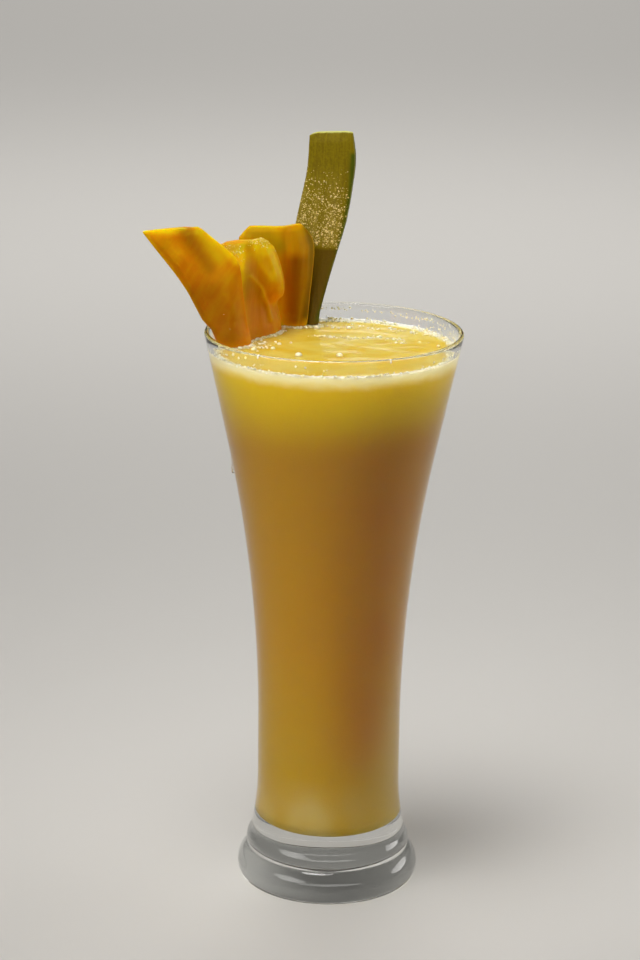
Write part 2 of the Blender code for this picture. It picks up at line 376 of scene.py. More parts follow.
@dataclass(frozen=True)
class WetPulp(Finish):
    """Tiny wet grains of pulp that glisten on a cut face."""

    pale: Color
    deep: Color

    def fill(self, graph: Graph, shader: Node) -> None:
        """Sets the shader and the nodes that feed it."""
        tint = graph.ramp(graph.noise(graph.place(), 900.0, 2.0), 0.35, 0.65)
        graph.link(graph.mix(tint, self.deep, self.pale), shader, "Base Color")
        set_inputs(shader, {"Roughness": 0.16, "IOR": 1.4, "Coat Weight": 0.5, "Coat Roughness": 0.05})


@dataclass(frozen=True)
class PlainMatte(Finish):
    """An even matte finish for the studio."""

    color: Color
    roughness: float = 0.8

    def fill(self, graph: Graph, shader: Node) -> None:
        """Sets the shader and the nodes that feed it."""
        set_inputs(shader, {"Base Color": (*self.color, 1.0), "Roughness": self.roughness})


def new_tree(name: str, given: str, numbers: dict[str, float]) -> tuple[Graph, NodeOutputs]:
    """Starts a Geometry Nodes tree with named inputs.

    Args:
        name: The tree's name.
        given: Name of the geometry that goes in.
        numbers: Names and default values of the other inputs, besides the Finish that every tree has.

    Returns:
        The graph to fill the tree with, and the sockets that give its inputs.
    """
    tree = bpy.data.node_groups.new(name, "GeometryNodeTree")
    tree.interface.new_socket(given, in_out="INPUT", socket_type="NodeSocketGeometry")
    for label, value in numbers.items():
        kind = "NodeSocketInt" if isinstance(value, int) else "NodeSocketFloat"
        tree.interface.new_socket(label, in_out="INPUT", socket_type=kind).default_value = value
    tree.interface.new_socket("Finish", in_out="INPUT", socket_type="NodeSocketMaterial")
    tree.interface.new_socket("Result", in_out="OUTPUT", socket_type="NodeSocketGeometry")
    graph = Graph(tree)
    return graph, graph.add("NodeGroupInput").outputs


def end_tree(graph: Graph, geometry: NodeSocket, finish: NodeSocket) -> NodeTree:
    """Ends a Geometry Nodes tree with smooth real meshes that carry the finish, and returns it.

    Args:
        graph: The tree's graph.
        geometry: The geometry that comes out.
        finish: Its material.

    Returns:
        The tree.
    """
    real = graph.add("GeometryNodeRealizeInstances", {"Geometry": geometry})
    smooth = graph.add("GeometryNodeSetShadeSmooth", {"Geometry": real.outputs[0], "Shade Smooth": True})
    dressed = graph.add("GeometryNodeSetMaterial", {"Geometry": smooth.outputs[0], "Material": finish})
    graph.add("NodeGroupOutput", {0: dressed.outputs[0]})
    return graph.tree


def turned_tree() -> NodeTree:
    """Geometry Nodes that turn a half section about Z into a closed solid.

    Returns:
        The tree. Its input geometry is a row of points, from one end on the axis to the other.
    """
    graph, given = new_tree("turned solid", "Profile", {"Steps": 96})
    count = graph.add("GeometryNodeAttributeDomainSize", {0: given["Profile"]}).outputs["Point Count"]
    columns = graph.math("ADD", given["Steps"], 1.0)
    grid = graph.add("GeometryNodeMeshGrid", {"Vertices X": columns, "Vertices Y": count})
    index = graph.add("GeometryNodeInputIndex").outputs[0]
    row = graph.math("MODULO", index, count)
    column = graph.math("FLOOR", graph.math("DIVIDE", index, count))
    angle = graph.math("MULTIPLY", graph.math("DIVIDE", column, given["Steps"]), 2 * math.pi)
    position = graph.add("GeometryNodeInputPosition").outputs[0]
    inputs = {"Geometry": given["Profile"], "Value": position, "Index": row}
    sample = graph.add("GeometryNodeSampleIndex", inputs, data_type="FLOAT_VECTOR")
    point = graph.add("ShaderNodeSeparateXYZ", {0: sample.outputs[0]})
    across = graph.math("MULTIPLY", point.outputs["X"], graph.math("COSINE", angle))
    along = graph.math("MULTIPLY", point.outputs["X"], graph.math("SINE", angle))
    place = graph.add("ShaderNodeCombineXYZ", {"X": across, "Y": along, "Z": point.outputs["Z"]})
    inputs = {"Geometry": grid.outputs["Mesh"], "Position": place.outputs[0]}
    moved = graph.add("GeometryNodeSetPosition", inputs)
    inputs = {"Geometry": moved.outputs[0], "Distance": TOUCHING}
    merged = graph.add("GeometryNodeMergeByDistance", inputs)
    return end_tree(graph, merged.outputs[0], given["Finish"])


def flattened(graph: Graph, size: NodeSocket, flatness: NodeSocket) -> NodeSocket:
    """Scale of a bead that is flattened along its own Z."""
    sizes = {"X": size, "Y": size, "Z": graph.math("MULTIPLY", size, flatness)}
    return graph.add("ShaderNodeCombineXYZ", sizes).outputs[0]


def scatter_tree() -> NodeTree:
    """Geometry Nodes that scatter beads over a surface, such as bubbles in froth.

    Returns:
        The tree. Its input geometry is the surface, whose "amount" attribute thins the beads out.
    """
    numbers = {"Density": 100000.0, "Spacing": 0.0003, "Smallest": 0.0002, "Largest": 0.0006,
               "Flatness": 0.8, "Seed": 1}
    graph, given = new_tree("scattered beads", "Surface", numbers)
    amount = graph.carried("amount", "FLOAT")
    points = graph.add("GeometryNodeDistributePointsOnFaces", {
        "Mesh": given["Surface"], "Distance Min": given["Spacing"], "Density Max": given["Density"],
        "Density Factor": amount, "Seed": given["Seed"]}, distribute_method="POISSON").outputs
    bead = graph.add("GeometryNodeMeshUVSphere", {"Segments": 8, "Rings": 6, "Radius": 1.0})
    random = graph.add("FunctionNodeRandomValue", {"Seed": given["Seed"]}, data_type="FLOAT")
    small = graph.math("POWER", random.outputs[1], 2.5)
    span = graph.math("SUBTRACT", given["Largest"], given["Smallest"])
    size = graph.math("ADD", graph.math("MULTIPLY", small, span), given["Smallest"])
    placed = graph.add("GeometryNodeInstanceOnPoints", {
        "Points": points["Points"], "Instance": bead.outputs["Mesh"], "Rotation": points["Rotation"],
        "Scale": flattened(graph, size, given["Flatness"])})
    return end_tree(graph, placed.outputs[0], given["Finish"])


def placed_tree() -> NodeTree:
    """Geometry Nodes that set one bead on each given point, such as a drop or a large bubble.

    Returns:
        The tree. Its points carry a "radius" in metres, and "facing", the way that a bead is flattened.
    """
    graph, given = new_tree("placed beads", "Points", {"Flatness": 0.6, "Segments": 16})
    radius, facing = graph.carried("radius", "FLOAT"), graph.carried("facing", "FLOAT_VECTOR")
    turn = graph.add("FunctionNodeAlignRotationToVector", {"Vector": facing}, axis="Z")
    rings = graph.math("MULTIPLY", given["Segments"], 0.6)
    inputs = {"Segments": given["Segments"], "Rings": rings, "Radius": 1.0}
    bead = graph.add("GeometryNodeMeshUVSphere", inputs)
    placed = graph.add("GeometryNodeInstanceOnPoints", {
        "Points": given["Points"], "Instance": bead.outputs["Mesh"], "Rotation": turn.outputs[0],
        "Scale": flattened(graph, radius, given["Flatness"])})
    return end_tree(graph, placed.outputs[0], given["Finish"])


def grow(name: str, base: Mesh, tree: NodeTree, values: dict[str, object]) -> Object:
    """Runs a Geometry Nodes tree on a mesh and keeps the result as a plain mesh.

    Args:
        name: The new piece's name.
        base: The mesh that the tree starts from.
        tree: The Geometry Nodes tree.
        values: Values for the tree's named inputs.

    Returns:
        The finished piece, with its place in its mesh and no modifier.
    """
    piece = bpy.data.objects.new(name, base)
    bpy.context.scene.collection.objects.link(piece)
    modifier = piece.modifiers.new("grow", "NODES")
    modifier.node_group = tree
    for item in tree.interface.items_tree:
        if item.item_type == "SOCKET" and item.in_out == "INPUT" and item.name in values:
            modifier[item.identifier] = values[item.name]
    apply_modifiers(piece)
    piece.data.name = name
    return piece


def apply_modifiers(piece: Object) -> None:
    """Turns a piece and its modifiers into one plain mesh.

    Args:
        piece: The piece.
    """
    graph = bpy.context.evaluated_depsgraph_get()
    mesh = bpy.data.meshes.new_from_object(piece.evaluated_get(graph), depsgraph=graph)
    piece.modifiers.clear()
    piece.data = mesh


def outward(mesh: Mesh) -> None:
    """Merges a mesh's doubles and makes its faces point outwards.

    Args:
        mesh: The mesh.
    """
    shape = bmesh.new()
    shape.from_mesh(mesh)
    bmesh.ops.remove_doubles(shape, verts=shape.verts, dist=TOUCHING)
    bmesh.ops.recalc_face_normals(shape, faces=shape.faces)
    shape.to_mesh(mesh)
    shape.free()


def get_rows(items: bpy_prop_collection, name: str) -> np.ndarray:
    """Reads a vector from each item of a mesh.

    Args:
        items: The mesh's items, such as its vertices.
        name: The name under which an item keeps the vector.

    Returns:
        The vectors as an array of rows.
    """
    rows = np.empty(len(items) * 3, np.float32)
    items.foreach_get(name, rows)
    return rows.reshape(-1, 3).astype(float)


def get_points(mesh: Mesh) -> np.ndarray:
    """Returns a mesh's vertex places as an array of rows."""
    return get_rows(mesh.vertices, "co")


def set_points(mesh: Mesh, points: np.ndarray) -> None:
    """Moves a mesh's vertices to the given places."""
    mesh.vertices.foreach_set("co", points.astype(np.float32).ravel())
    mesh.update()


def get_normals(mesh: Mesh) -> np.ndarray:
    """Returns a mesh's vertex normals as an array of rows."""
    return get_rows(mesh.vertex_normals, "vector")


def paint(mesh: Mesh, name: str, values: np.ndarray) -> None:
    """Stores one number for each vertex as a named attribute."""
    layer = mesh.attributes.new(name, "FLOAT", "POINT")
    layer.data.foreach_set("value", np.clip(values, 0.0, 1.0).astype(np.float32))


def fade(value: np.ndarray, low: float, high: float) -> np.ndarray:
    """Smooth step from 0 at low to 1 at high, or the other way round where low is larger."""
    part = np.clip((value - low) / (high - low), 0.0, 1.0)
    return part * part * (3 - 2 * part)


def sector(points: np.ndarray, middle: float, width: float) -> np.ndarray:
    """Weight of each point by its angle about Z, 1 at the middle and soft over the width, in radians."""
    angle = np.arctan2(points[:, 1], points[:, 0])
    return np.exp(-((angle - middle) / width) ** 2)


def cloud(points: np.ndarray, size: float, seed: float = 0.0) -> np.ndarray:
    """Smooth noise from about -1 to 1 at each point, with features of the given size in metres."""
    shift = Vector((seed, 2.3 * seed, 5.1 * seed))
    return np.array([noise.noise(Vector(point) / size + shift) for point in points])


@dataclass(frozen=True)
class Scatter:
    """Small beads scattered over a surface: their spacing, and the radii that they lie between.

    The density is the most beads to a square metre, and flatness is a bead's thickness for its width.
    """

    spacing: float
    smallest: float
    largest: float
    seed: int
    density: float = 4200000.0
    flatness: float = 0.7

    def over(self, name: str, base: Mesh, tree: NodeTree, finish: Finish) -> Object:
        """Scatters the beads.

        Args:
            name: The new piece's name.
            base: The mesh to cover. Its "amount" attribute thins the beads out.
            tree: The Geometry Nodes tree that scatters beads.
            finish: The beads' finish.

        Returns:
            The beads, as one piece.
        """
        values = {"Density": self.density, "Spacing": self.spacing * MM, "Smallest": self.smallest * MM,
                  "Largest": self.largest * MM, "Flatness": self.flatness, "Seed": self.seed,
                  "Finish": finish.material()}
        return grow(name, base, tree, values)


@dataclass
class FlaredGlass:
    """The tall glass: a thick two-step foot, a straight waist, and a bowl that flares to its rim."""

    finish: ClearGlass
    height: float = 188.8
    waist_radius: float = 23.8
    flare_start: float = 55.0
    flare_end: float = 150.0
    flare_slope: float = 0.2125
    neck_top: float = 36.0
    neck_bottom: float = 16.6
    neck_radius: float = 25.95
    ring_bottom: float = 10.7
    ring_radius: float = 27.0
    ring_swell: float = 0.88
    base_radius: float = 28.4
    base_swell: float = 2.65
    base_squareness: float = 0.7
    bowl_bottom: float = 20.5
    bowl_corner: float = 5.5
    wall_low: float = 2.4
    wall_rim: float = 1.65
    steps: int = 160

    def outer_radius(self, z: float) -> float:
        """Outside radius above the foot: a straight waist, then a steadily steeper flare, then a cone.

        Args:
            z: Height above the floor.

        Returns:
            The radius there.
        """
        if z < self.neck_top:
            neck = (self.neck_top - z) / (self.neck_top - self.neck_bottom)
            return self.waist_radius + (self.neck_radius - self.waist_radius) * neck ** 2
        span = self.flare_end - self.flare_start
        rise = min(max(z - self.flare_start, 0.0), span)
        flare = self.flare_slope * rise ** 2 / (2 * span)
        return self.waist_radius + flare + self.flare_slope * max(z - self.flare_end, 0.0)

    def inner_radius(self, z: float) -> float:
        """Inside radius of the bowl, rounded into its bottom.

        Args:
            z: Height above the floor.

        Returns:
            The radius there.
        """
        part = (z - self.bowl_bottom) / (self.height - self.bowl_bottom)
        radius = self.outer_radius(z) - (self.wall_low + (self.wall_rim - self.wall_low) * part)
        corner = self.bowl_bottom + self.bowl_corner - z
        if corner > 0:
            radius -= self.bowl_corner - math.sqrt(max(self.bowl_corner ** 2 - corner ** 2, 0.0))
        return radius

    def bowl_line(self, low: float, high: float, steps: int = 60) -> Profile:
        """Points of the inner wall from low to high, closer together round the bottom corner.

        Args:
            low: Height of the bowl's bottom.
            high: Height of the last point.
            steps: Number of points above the corner.

        Returns:
            The points, as (radius, height).
        """
        turns = [self.bowl_corner * (1 - math.cos(math.pi / 2 * i / 12)) for i in range(12)]
        rise = np.linspace(low + self.bowl_corner, high, steps)
        return [(self.inner_radius(z), z) for z in [low + t for t in turns] + rise.tolist()]

    def foot_line(self) -> Profile:
        """Points down the outside of the foot: a slim ring, a crease, and the full rounded base.

        Returns:
            The points, as (radius, height).
        """
        line = []
        for part in np.linspace(0, 1, 15)[1:]:
            radius = self.neck_radius + (self.ring_radius - self.neck_radius) * part
            radius += self.ring_swell * math.sin(math.pi * part)
            line.append((radius, self.neck_bottom + (self.ring_bottom - self.neck_bottom) * part))
        for turn in np.linspace(0, math.pi, 29)[1:]:
            part = 0.5 - 0.5 * math.cos(turn)
            swell = self.base_swell * max(math.sin(math.pi * part), 0.0) ** self.base_squareness
            radius = self.ring_radius + (self.base_radius - self.ring_radius) * part + swell
            line.append((radius, self.ring_bottom * (1 - part)))
        return line

    def profile(self) -> Profile:
        """Half section from the bowl's bottom over the rim and down to the middle of the base.

        Returns:
            The points, as (radius, height).
        """
        rim = self.wall_rim / 2
        start = self.height - rim
        middle = self.outer_radius(start) - rim
        turns = np.linspace(math.pi, 0, 11)[1:-1]
        over = [(middle + rim * math.cos(t), start + rim * math.sin(t)) for t in turns]
        outside = [(self.outer_radius(z), z) for z in np.linspace(start, self.neck_bottom, 90)]
        inside = self.bowl_line(self.bowl_bottom, start)
        flat = [(self.base_radius - step, 0.0) for step in (0.3, 1.0, 4.0)]
        down = outside + self.foot_line() + flat
        return [(0.0, self.bowl_bottom)] + inside + over + down + [(0.0, 0.0)]

    def build(self, tree: NodeTree) -> Object:
        """Turns the glass and returns it.

        Args:
            tree: The Geometry Nodes tree that turns a half section.

        Returns:
            The glass.
        """
        values = {"Steps": self.steps, "Finish": self.finish.material()}
        piece = grow("flared_glass", profile_mesh(self.profile()), tree, values)
        outward(piece.data)
        return piece


def profile_mesh(profile: Profile) -> Mesh:
    """A row of points in metres from a half section in millimetres."""
    mesh = bpy.data.meshes.new("profile")
    mesh.from_pydata([(radius * MM, 0.0, z * MM) for radius, z in profile], [], [])
    return mesh


class Slice(Enum):
    """The three mango slices, by the CAD node that each one replaces."""

    LEFT = "mango_slice_left"
    MIDDLE = "mango_slice_middle"
    BACK = "mango_slice_back"


@dataclass(frozen=True)
class Stroke:
    """A ridge, groove or patch of colour along a line on a slice's front, in millimetres.

    The line's points are (x, z). The stroke raises the flesh by lift, and adds gold (light yellow against
    deep orange: the flesh's own tone, and also painted highlight on lit edges and bevels) and olive (a
    duller yellow painted as the shade in a hollow) to its colour. Its last number darkens the colour with
    painted shade.
    """

    line: tuple[Pair, ...]
    width: float
    lift: float = 0.0
    # The flesh's own tone, and painted highlight on lit edges.
    gold: float = 0.0
    # Painted shade of a hollow.
    olive: float = 0.0
    # Painted shade that darkens the colour.
    painted_shade: float = 0.0

    def weight(self, points: np.ndarray) -> np.ndarray:
        """How strongly the stroke acts on each point, from 0 to 1.

        Args:
            points: The points, in metres.

        Returns:
            One number for each point.
        """
        place = points[:, (0, 2)] / MM
        nearest = np.full(len(place), 1e9)
        for start, end in zip(self.line, self.line[1:]):
            start, along = np.array(start), np.array(end) - np.array(start)
            part = np.clip((place - start) @ along / (along @ along), 0.0, 1.0)
            nearest = np.minimum(nearest, np.linalg.norm(place - start - part[:, None] * along, axis=1))
        return np.exp(-(nearest / self.width) ** 2)


def soft_copy(name: str, node: str, voxel: float, smoothing: int) -> Object:
    """A finely divided copy of a CAD node, with its facets smoothed away.

    Args:
        name: The new piece's name.
        node: The CAD node to copy.
        voxel: Size of the new faces, in millimetres.
        smoothing: How often the surface is relaxed.

    Returns:
        The copy, as a plain mesh.
    """
    piece = bpy.data.objects.new(name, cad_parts[node].data.copy())
    bpy.context.scene.collection.objects.link(piece)
    outward(piece.data)
    piece.data.materials.clear()
    remesh = piece.modifiers.new("remesh", "REMESH")
    remesh.mode = "VOXEL"
    remesh.voxel_size = voxel * MM
    smooth = piece.modifiers.new("smooth", "SMOOTH")
    smooth.factor = 0.5
    smooth.iterations = smoothing
    apply_modifiers(piece)
    outward(piece.data)
    for face in piece.data.polygons:
        face.use_smooth = True
    return piece


def relax(piece: Object, weights: np.ndarray, times: int) -> None:
    """Smooths a piece where the weights say so.

    Args:
        piece: The piece.
        weights: One number from 0 to 1 for each vertex.
        times: How often the surface is relaxed.
    """
    group = piece.vertex_groups.new(name="relaxed")
    for i in np.flatnonzero(weights > 0.01):
        group.add([int(i)], float(weights[i]), "REPLACE")
    smooth = piece.modifiers.new("relax", "SMOOTH")
    smooth.factor = 0.5
    smooth.iterations = times
    smooth.vertex_group = group.name
    apply_modifiers(piece)
    piece.vertex_groups.clear()


@dataclass
class MangoSlice:
    """One slice of ripe mango, carved and coloured by strokes on its front; the colours hold painted shade
    and painted highlights.

    Its lean is the way its strands run. The middle slice is smoothed at its right edge, about one height.
    """

    which: Slice
    lean: float
    gold: float
    strokes: tuple[Stroke, ...]
    crumbs: tuple[Stroke, ...] = ()
    voxel: float = 0.34
    smoothing: int = 7
    strand_depth: float = 0.05
    wave_depth: float = 0.22
    forward: Point = (-0.2, -0.9, 0.38)
    edge_height: float = 196.5
    edge_span: float = 4.0
    edge_x: Pair = (-17.0, -19.5)
    edge_smoothing: int = 160

    def build(self) -> Object:
        """Builds the slice with its relief and its finish, and returns it.

        Returns:
            The slice.
        """
        piece = soft_copy(self.which.value + "_flesh", self.which.value, self.voxel, self.smoothing)
        if self.which is Slice.MIDDLE:
            place = get_points(piece.data) / MM
            near = np.exp(-((place[:, 2] - self.edge_height) / self.edge_span) ** 2)
            relax(piece, near * fade(place[:, 0], *self.edge_x), self.edge_smoothing)
        mesh = piece.data
        points, normals = get_points(mesh), get_normals(mesh)
        front = fade(normals @ np.array(self.forward), -0.1, 0.45)
        turn = np.array(Matrix.Rotation(-math.radians(self.lean), 3, "Y"))
        lying = points @ turn.T
        relief = self.strand_depth * cloud(lying * np.array([1.0, 1.0, 0.08]), 0.0014, 3.0)
        relief += self.wave_depth * cloud(lying * np.array([1.0, 1.0, 0.35]), 0.006, 7.0)
        # The strokes paint the flesh's own tone, painted highlights in the gold, and painted shade in the
        # olive and the last number.
        gold = np.full(len(points), self.gold)
        olive = np.zeros(len(points))
        painted_shade = np.zeros(len(points))
        for stroke in self.strokes:
            weight = stroke.weight(points) * front
            relief += stroke.lift * weight
            gold += stroke.gold * weight
            olive += stroke.olive * weight
            painted_shade += stroke.painted_shade * weight
        moved = points + normals * relief[:, None] * MM
        set_points(mesh, self.settle(moved))
        paint(mesh, "gold", gold)
        paint(mesh, "olive", olive)
        paint(mesh, "painted_shade", painted_shade)
        if self.crumbs:
            crumbly = np.max([stroke.weight(points) for stroke in self.crumbs], axis=0)
            paint(mesh, "amount", crumbly * front * (0.6 + 0.8 * cloud(points, 0.002, 11.0)))
        mesh.materials.append(MangoFlesh(self.which.value + " flesh", self.lean).material())
        return piece

    def settle(self, points: np.ndarray) -> np.ndarray:
        """Brings the left and the middle slice together where the two meet.

        Args:
            points: The slice's points, in metres.

        Returns:
            The points, with some of them moved.
        """
        x, y, z = points.T
        if self.which is Slice.MIDDLE:
            points[:, 1] -= 0.0055 * fade(x, -0.0245, -0.0300) * fade(z, 0.216, 0.206)
        if self.which is Slice.LEFT:
            points[:, 1] += 0.0030 * fade(x, -0.0340, -0.0285) * fade(y, 0.004, -0.002)
        return points


def mango_fan() -> list[MangoSlice]:
    """Gives each slice its strokes.

    Returns:
        The three slices, from the front one to the one at the back.
    """
    left = MangoSlice(Slice.LEFT, -30.0, 0.10, (
        Stroke(((-58.0, 219.5), (-52.0, 213.5)), 2.6, 0.0, 0.22),
        # Painted shade over the lower left part.
        Stroke(((-45.0, 200.0), (-41.0, 193.5), (-37.0, 186.0)), 5.0, painted_shade=0.34),
        Stroke(((-39.0, 202.0), (-36.0, 195.0), (-33.5, 187.0)), 3.6, painted_shade=0.22),
        Stroke(((-34.5, 204.5), (-32.6, 196.0), (-31.0, 188.0)), 3.4, 0.0, 0.02, 0.1, 0.16),
        # A groove, with painted shade in it.
        Stroke(((-48.2, 221.0), (-46.2, 216.6), (-42.6, 211.8), (-40.4, 208.6)), 2.5, -0.42, 0.02, 0.06,
               0.32),
        Stroke(((-48.4, 221.0), (-46.8, 217.8)), 1.8, 0.0, 0.0, 0.12),
        # A bevel lit from above, painted as a yellow highlight.
        Stroke(((-44.6, 221.0), (-41.0, 216.2), (-37.4, 212.0)), 2.2, 0.3, 0.66, 0.08, 0.08),
        Stroke(((-36.0, 209.0), (-34.2, 204.5)), 2.2, 0.2, 0.16),
        # Painted highlight along the right top edge.
        Stroke(((-43.2, 220.6), (-36.7, 215.6), (-31.8, 210.6)), 1.4, 0.2, 0.75),
        Stroke(((-35.0, 200.5), (-31.9, 195.8), (-30.2, 189.0)), 0.9, 0.12, 0.12),
        Stroke(((-32.4, 206.0), (-30.9, 199.0), (-29.2, 191.0)), 0.9, 0.1, 0.05),
        # Painted highlights along the top and left edges.
        Stroke(((-61.3, 221.2), (-54.0, 220.4), (-48.5, 221.2)), 0.9, 0.0, 0.8),
        Stroke(((-61.0, 220.0), (-51.8, 207.4), (-47.2, 200.0), (-41.0, 188.0)), 0.7, 0.0, 0.5),
        Stroke(((-48.4, 213.0), (-42.3, 208.0), (-38.4, 203.6)), 2.6, 0.35, 0.05),
        # A groove, with painted shade in it.
        Stroke(((-55.0, 214.5), (-50.0, 206.5)), 1.6, -0.35, -0.15, 0.15),
    ))
    middle = MangoSlice(Slice.MIDDLE, -8.0, 0.16, (
        Stroke(((-30.6, 207.0), (-29.6, 198.0), (-28.6, 188.0)), 1.5, 0.0, 0.4),
        # Painted shade low down.
        Stroke(((-27.0, 200.0), (-25.0, 186.0)), 5.0, painted_shade=0.2),
        Stroke(((-24.4, 213.0), (-21.6, 210.0), (-19.4, 204.5)), 2.8, 0.0, 0.65),
        Stroke(((-34.5, 212.2), (-30.0, 211.0), (-30.0, 205.0)), 2.2, 0.0, 0.6),
        # A fold, with painted shade in it.
        Stroke(((-27.3, 213.9), (-27.6, 210.6), (-28.3, 205.0), (-28.4, 198.0)), 1.6, -0.45, -0.1, 0.3),
        Stroke(((-25.1, 214.9), (-25.3, 210.6), (-23.8, 207.1), (-20.6, 202.5)), 0.9, 0.16, 0.2),
        Stroke(((-22.2, 209.4), (-20.8, 206.2)), 1.2, -0.08, -0.32),
        Stroke(((-24.2, 213.4), (-21.2, 212.2)), 1.8, 0.2, 0.35),
        Stroke(((-27.1, 204.7), (-23.8, 199.7), (-22.2, 194.7), (-20.6, 188.0)), 0.6, 0.35, 0.3),
        Stroke(((-28.0, 202.9), (-24.9, 198.2), (-23.3, 193.4), (-21.8, 187.0)), 0.9, -0.12, 0.0, 0.15),
        Stroke(((-19.9, 211.7), (-18.2, 207.2), (-17.0, 202.8), (-16.4, 199.5)), 1.2, 0.2, 0.5),
        Stroke(((-18.9, 206.0), (-18.0, 200.6), (-17.2, 196.6)), 0.7, -0.2, -0.1),
        Stroke(((-18.4, 208.0), (-17.6, 203.5), (-17.4, 199.5)), 2.0, 0.0, 0.32),
        # Along the top edge: yellower, and darkened with painted shade.
        Stroke(((-36.0, 213.6), (-30.0, 214.2), (-26.0, 216.2), (-21.0, 215.0)), 1.5, 0.0, 0.6, 0.1,
               0.26),
        Stroke(((-29.5, 195.0), (-28.0, 184.0)), 3.0, 0.0, -0.2),
    ), crumbs=(
        Stroke(((-35.0, 213.6), (-31.0, 212.4), (-30.6, 210.6)), 1.1),
        Stroke(((-26.2, 215.4), (-22.4, 214.6)), 1.1),
        Stroke(((-19.2, 211.4), (-17.8, 207.0)), 0.35),
    ))
    back = MangoSlice(Slice.BACK, 0.0, 0.42, (
        # A groove at the corner, with painted shade in it.
        Stroke(((-16.5, 216.4), (-16.6, 211.8), (-16.5, 205.3), (-15.8, 198.5), (-15.2, 188.0)),
               1.3, -0.4, -0.2, 0.1),
        Stroke(((-12.4, 215.4), (-12.4, 209.3)), 2.2, 0.3, 0.0),
        # Painted shadow that the middle slice casts on this one.
        Stroke(((-13.6, 206.0), (-13.8, 196.0), (-13.8, 186.0)), 2.4, 0.0, -0.38, painted_shade=0.36),
        # Painted shade on the right part and along its right edge.
        Stroke(((-10.6, 205.5), (-10.8, 196.0), (-11.0, 186.0)), 2.6, 0.0, -0.1, 0.1, 0.34),
        Stroke(((-9.5, 216.2), (-7.6, 211.0), (-7.4, 203.0), (-8.3, 195.0), (-9.2, 187.0)),
               1.4, 0.0, 0.0, 0.6, 0.4),
        Stroke(((-10.3, 195.5), (-11.1, 190.3), (-11.9, 185.1)), 0.5, 0.15, 0.2),
        Stroke(((-27.7, 216.0), (-22.5, 215.6), (-18.8, 212.0)), 3.4, 0.0, 0.3, 0.4, 0.2),
        Stroke(((-14.0, 217.0), (-11.5, 212.0)), 3.6, 0.0, 0.0, 0.1, 0.2),
        # Painted highlight along the top edge.
        Stroke(((-28.0, 218.0), (-20.0, 218.6), (-11.0, 218.2)), 0.8, 0.1, 0.5),
    ), strand_depth=0.10)
    return [left, middle, back]


@dataclass
class PeelStrip:
    """The tall strip of peel behind the slices.

    Its top corners, the left and the right one, are lowered by the corner drops.
    """

    node: str = "mango_peel_strip"
    voxel: float = 0.3
    smoothing: int = 5
    forward: Point = (-0.33, -0.94, 0.0)
    fibre_depth: float = 0.10
    corner_drop: Pair = (1.3, 0.6)
    corner_height: float = 7.0
    speck_start: Pair = (208.6, 209.6)
    speck_end: Pair = (238.0, 217.6)
    skin_lines: tuple[Stroke, ...] = (
        Stroke(((5.5, 240.0), (5.0, 228.0), (3.4, 218.0), (1.0, 207.5)), 1.0),
        Stroke(((0.4, 204.2), (-1.0, 198.0), (-3.0, 191.5), (-4.9, 185.7)), 1.3),
    )

    def build(self) -> Object:
        """Builds the strip with its relief and its finish, and returns it.

        Returns:
            The strip.
        """
        piece = soft_copy("mango_peel_strip_cut", self.node, self.voxel, self.smoothing)
        mesh = piece.data
        points, normals = get_points(mesh), get_normals(mesh)
        facing = normals @ np.array(self.forward)
        fibres = cloud(points * np.array([1.0, 1.0, 0.08]), 0.0009, 2.0)
        flesh = fade(facing, 0.3, 0.7)
        points = points + normals * (self.fibre_depth * fibres * flesh)[:, None] * MM
        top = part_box(self.node)[1][2]
        self.round_corners(points, top)
        set_points(mesh, points)
        shown = np.max([stroke.weight(points) for stroke in self.skin_lines], axis=0)
        paint(mesh, "skin", np.maximum(1 - fade(facing, -0.1, 0.35), 1.15 * shown))
        # Painted highlight: a pale line along the top edge and down the left edge.
        rim = fade(normals[:, 2], 0.2, 0.6) * fade(points[:, 2], top - 0.004, top - 0.002)
        corner = np.exp(-((facing - 0.42) / 0.2) ** 2) * fade(points[:, 2], 0.19, 0.22)
        paint(mesh, "edge", np.maximum(rim, 0.75 * corner))
        height = points[:, 2] / MM
        speckled = fade(height, *self.speck_start) * fade(height, *self.speck_end) * flesh * (1 - shown)
        paint(mesh, "amount", speckled * (0.7 + 0.9 * cloud(points, 0.003, 9.0)))
        # Painted sheen: a paler haze over the wet specks, stronger to the left.
        paint(mesh, "wet", 0.6 * speckled * fade(points[:, 0], 0.007, 0.0))
        mesh.materials.append(MangoPeel().material())
        return piece

    def round_corners(self, points: np.ndarray, top: float) -> None:
        """Rounds the strip's two top corners.

        Args:
            points: The strip's points, in metres, which are moved.
            top: Height of its top, in metres.
        """
        across = points @ np.array((-self.forward[1], self.forward[0], 0.0))
        at_top = across[points[:, 2] > top - 0.004]
        middle, half = (at_top.max() + at_top.min()) / 2, (at_top.max() - at_top.min()) / 2
        outer = np.clip((np.abs(across - middle) / half - 0.5) / 0.5, 0.0, 1.0)
        drop = np.where(across < middle, *self.corner_drop) * MM
        points[:, 2] -= drop * outer ** 2.5 * fade(points[:, 2], top - self.corner_height * MM, top)


